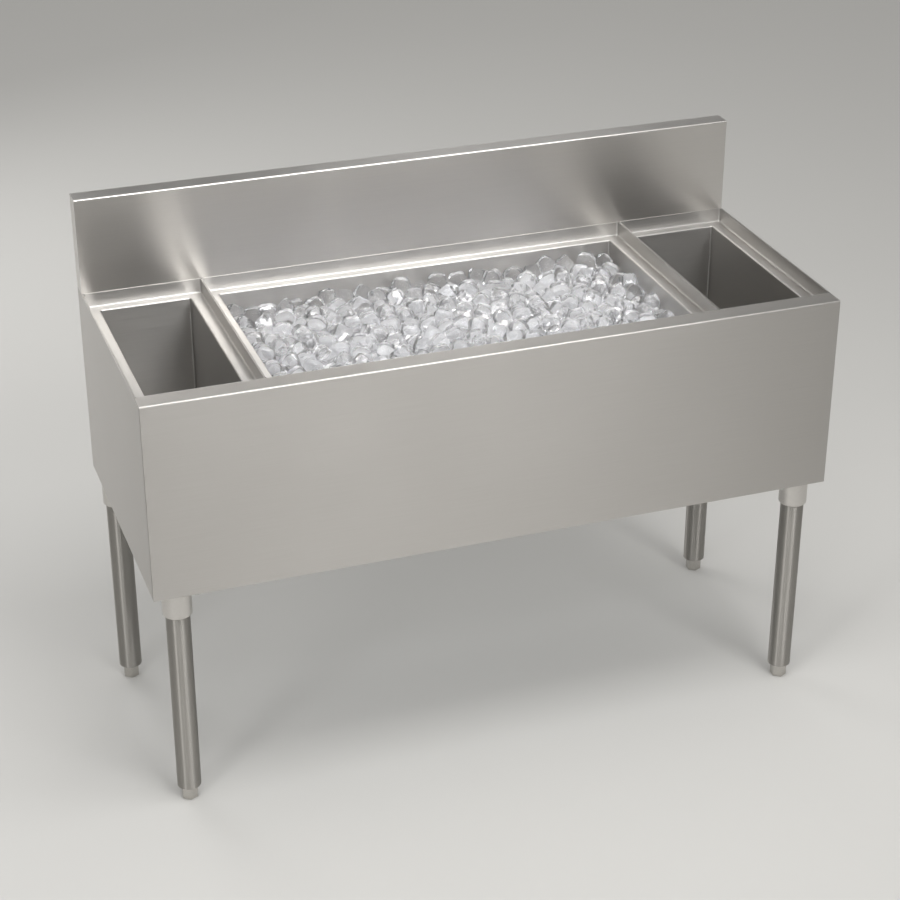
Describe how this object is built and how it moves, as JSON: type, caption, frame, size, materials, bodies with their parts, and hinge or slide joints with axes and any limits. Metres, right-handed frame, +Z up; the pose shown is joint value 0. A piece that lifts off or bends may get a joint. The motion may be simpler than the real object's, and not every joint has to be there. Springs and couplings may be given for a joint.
{
  "type": "ice bin",
  "caption": "Free-standing stainless underbar ice bin: insulated compartment of clear ice between open bottle wells, box backsplash, tube legs on screw feet.",
  "frame": {"origin": "on the floor, under the middle of the case's outline", "axes": "+X along the length, left to right as seen from the front; +Y from the front to the backsplash; +Z up"},
  "size_m": [1.2192, 0.5, 0.942],
  "materials": {
    "brushed_stainless": "No. 4 brushed stainless sheet",
    "liner_stainless": "satin stainless sheet",
    "galvanised_steel": "dull galvanised sheet",
    "leg_stainless": "satin stainless tube, brushed lengthwise",
    "socket_stainless": "smooth satin stainless",
    "plated_fastener": "bright zinc plate",
    "drain_metal": "nickel plate",
    "gasket_rubber": "matt black",
    "rigid_foam": "foamed in place, matt",
    "clear_ice": "clear cube ice, wet"
  },
  "bodies": {
    "case": {"front_panel": "brushed_stainless", "left_side_panel": "brushed_stainless", "right_side_panel": "brushed_stainless", "backsplash": "brushed_stainless", "backsplash_left_cap": "brushed_stainless", "backsplash_right_cap": "brushed_stainless", "back_panel": "galvanised_steel", "bottom_tray": "galvanised_steel", "left_leg_channel": "galvanised_steel", "right_leg_channel": "galvanised_steel", "left_well_liner": "liner_stainless", "ice_bin_liner": "liner_stainless", "right_well_liner": "liner_stainless", "foam_front": "rigid_foam", "foam_rear": "rigid_foam", "foam_left": "rigid_foam", "foam_right": "rigid_foam", "foam_bottom": "rigid_foam", "leg_set_screws": "plated_fastener", "gusset_bolts": "plated_fastener", "gusset_nuts": "plated_fastener", "ice_heap": "clear_ice", "left_well_drain_spud": "drain_metal", "left_well_drain_locknut": "drain_metal", "left_well_drain_strainer": "liner_stainless", "left_well_drain_gasket": "gasket_rubber", "bin_drain_spud": "drain_metal", "bin_drain_locknut": "drain_metal", "bin_drain_strainer": "liner_stainless", "bin_drain_gasket": "gasket_rubber", "right_well_drain_spud": "drain_metal", "right_well_drain_locknut": "drain_metal", "right_well_drain_strainer": "liner_stainless", "right_well_drain_gasket": "gasket_rubber", "gusset_front_left": "socket_stainless", "leg_tube_front_left": "leg_stainless", "leg_insert_front_left": "socket_stainless", "gusset_front_right": "socket_stainless", "leg_tube_front_right": "leg_stainless", "leg_insert_front_right": "socket_stainless", "gusset_rear_left": "socket_stainless", "leg_tube_rear_left": "leg_stainless", "leg_insert_rear_left": "socket_stainless", "gusset_rear_right": "socket_stainless", "leg_tube_rear_right": "leg_stainless", "leg_insert_rear_right": "socket_stainless"},
    "foot_screw_front_left": {"foot_stud_front_left": "plated_fastener"},
    "foot_front_left": {"foot_hex_front_left": "socket_stainless"},
    "foot_screw_front_right": {"foot_stud_front_right": "plated_fastener"},
    "foot_front_right": {"foot_hex_front_right": "socket_stainless"},
    "foot_screw_rear_left": {"foot_stud_rear_left": "plated_fastener"},
    "foot_rear_left": {"foot_hex_rear_left": "socket_stainless"},
    "foot_screw_rear_right": {"foot_stud_rear_right": "plated_fastener"},
    "foot_rear_right": {"foot_hex_rear_right": "socket_stainless"}
  },
  "joints": [
    {"name": "foot_travel_front_left", "type": "slide", "parent": "case", "child": "foot_screw_front_left", "axis": [0, 0, -1], "range_m": [0, 0.025]},
    {"name": "foot_turn_front_left", "type": "hinge", "parent": "foot_screw_front_left", "child": "foot_front_left", "pos_m": [-0.566, -0.22, 0.013], "axis": [0, 0, -1], "range_deg": [0, 3900]},
    {"name": "foot_travel_front_right", "type": "slide", "parent": "case", "child": "foot_screw_front_right", "axis": [0, 0, -1], "range_m": [0, 0.025]},
    {"name": "foot_turn_front_right", "type": "hinge", "parent": "foot_screw_front_right", "child": "foot_front_right", "pos_m": [0.566, -0.22, 0.013], "axis": [0, 0, -1], "range_deg": [0, 3900]},
    {"name": "foot_travel_rear_left", "type": "slide", "parent": "case", "child": "foot_screw_rear_left", "axis": [0, 0, -1], "range_m": [0, 0.025]},
    {"name": "foot_turn_rear_left", "type": "hinge", "parent": "foot_screw_rear_left", "child": "foot_rear_left", "pos_m": [-0.582, 0.185, 0.013], "axis": [0, 0, -1], "range_deg": [0, 3900]},
    {"name": "foot_travel_rear_right", "type": "slide", "parent": "case", "child": "foot_screw_rear_right", "axis": [0, 0, -1], "range_m": [0, 0.025]},
    {"name": "foot_turn_rear_right", "type": "hinge", "parent": "foot_screw_rear_right", "child": "foot_rear_right", "pos_m": [0.582, 0.185, 0.013], "axis": [0, 0, -1], "range_deg": [0, 3900]}
  ],
  "couplings": [
    {"joint": "foot_turn_front_left", "follows": "foot_travel_front_left", "rad_per_m": 2721.1},
    {"joint": "foot_turn_front_right", "follows": "foot_travel_front_right", "rad_per_m": 2721.1},
    {"joint": "foot_turn_rear_left", "follows": "foot_travel_rear_left", "rad_per_m": 2721.1},
    {"joint": "foot_turn_rear_right", "follows": "foot_travel_rear_right", "rad_per_m": 2721.1}
  ]
}
